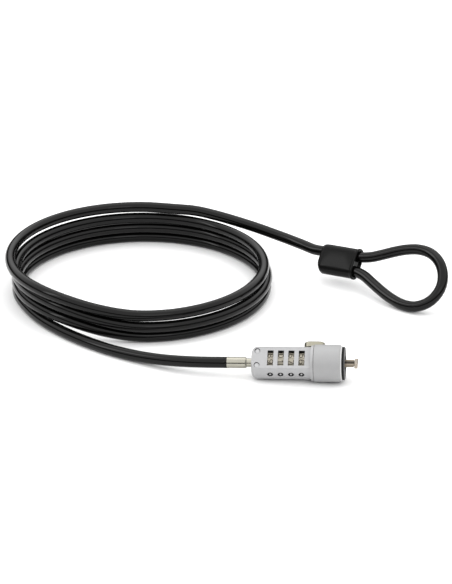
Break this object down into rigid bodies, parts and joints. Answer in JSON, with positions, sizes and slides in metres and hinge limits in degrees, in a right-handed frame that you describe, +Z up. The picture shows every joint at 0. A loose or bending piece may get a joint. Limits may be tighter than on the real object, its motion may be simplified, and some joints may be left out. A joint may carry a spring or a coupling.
{
  "type": "cable lock",
  "caption": "Combination laptop cable lock: number dials, lock button and T-bar nose in a metal head on a swivelling cable coiled to a crimped loop.",
  "frame": {"origin": "on the surface the lock lies on, under the middle of the lock head with its ferrule", "axes": "+X along the head from its ferrule to its nose, seen from above, +Y towards the coil, +Z up"},
  "size_m": [0.244, 0.1854, 0.0303],
  "materials": {
    "jacket": "glossy black vinyl",
    "sleeve": "satin black",
    "body": "fine-grained silver grey",
    "collar": "satin",
    "bright": "polished",
    "button": "satin nickel",
    "nose": "satin",
    "dial": "satin nickel brass",
    "steel": "bright",
    "rubber": "matte"
  },
  "bodies": {
    "cable": {"cable_lead": "jacket", "cable_coil": "jacket", "cable_tail": "jacket", "cable_eye": "jacket", "cable_core": "steel", "crimp_sleeve": "sleeve", "swivel_ferrule": "bright"},
    "head": {"swivel_pins": "steel", "housing": "body", "rear_bulkhead": "dial", "dial_spacers": "dial", "front_bush": "dial", "detent_plugs": "steel", "detent_springs": "steel", "detent_balls": "steel", "nose_block": "nose", "front_collar": "collar", "face_washer": "rubber", "spindle_spring": "steel", "button_spring": "steel"},
    "first_dial": {"dial_1": "dial", "code_ring_1": "dial"},
    "second_dial": {"dial_2": "dial", "code_ring_2": "dial"},
    "third_dial": {"dial_3": "dial", "code_ring_3": "dial"},
    "fourth_dial": {"dial_4": "dial", "code_ring_4": "dial"},
    "button": {"lock_button": "button"},
    "release_spindle": {"spindle": "steel"},
    "cross_bar": {"t_bar": "nose"}
  },
  "joints": [
    {"name": "head_swivel", "type": "hinge", "parent": "cable", "child": "head", "pos_m": [-0.02093, -0.00047, 0.00821], "axis": [0.999, 0, 0.0438], "continuous": true},
    {"name": "first_dial_turn", "type": "hinge", "parent": "head", "child": "first_dial", "pos_m": [-0.02093, -0.00047, 0.00821], "axis": [0.999, 0, 0.0438], "continuous": true},
    {"name": "second_dial_turn", "type": "hinge", "parent": "head", "child": "second_dial", "pos_m": [-0.02093, -0.00047, 0.00821], "axis": [0.999, 0, 0.0438], "continuous": true},
    {"name": "third_dial_turn", "type": "hinge", "parent": "head", "child": "third_dial", "pos_m": [-0.02093, -0.00047, 0.00821], "axis": [0.999, 0, 0.0438], "continuous": true},
    {"name": "fourth_dial_turn", "type": "hinge", "parent": "head", "child": "fourth_dial", "pos_m": [-0.02093, -0.00047, 0.00821], "axis": [0.999, 0, 0.0438], "continuous": true},
    {"name": "button_press", "type": "slide", "parent": "head", "child": "button", "axis": [0.0281, -0.766, -0.6422], "range_m": [0, 0.0016], "stiffness_N_per_m": 400, "springref_m": -0.002, "deforming": ["button_spring"]},
    {"name": "spindle_slide", "type": "slide", "parent": "head", "child": "release_spindle", "axis": [-0.999, 0, -0.0438], "range_m": [0, 0.0014], "deforming": ["spindle_spring"]},
    {"name": "t_bar_turn", "type": "hinge", "parent": "head", "child": "cross_bar", "pos_m": [-0.02093, -0.00047, 0.00821], "axis": [0.999, 0, 0.0438], "range_deg": [0, 90]}
  ],
  "couplings": [
    {"joint": "spindle_slide", "follows": "button_press", "ratio": 0.875},
    {"joint": "t_bar_turn", "follows": "button_press", "rad_per_m": 981.7}
  ]
}
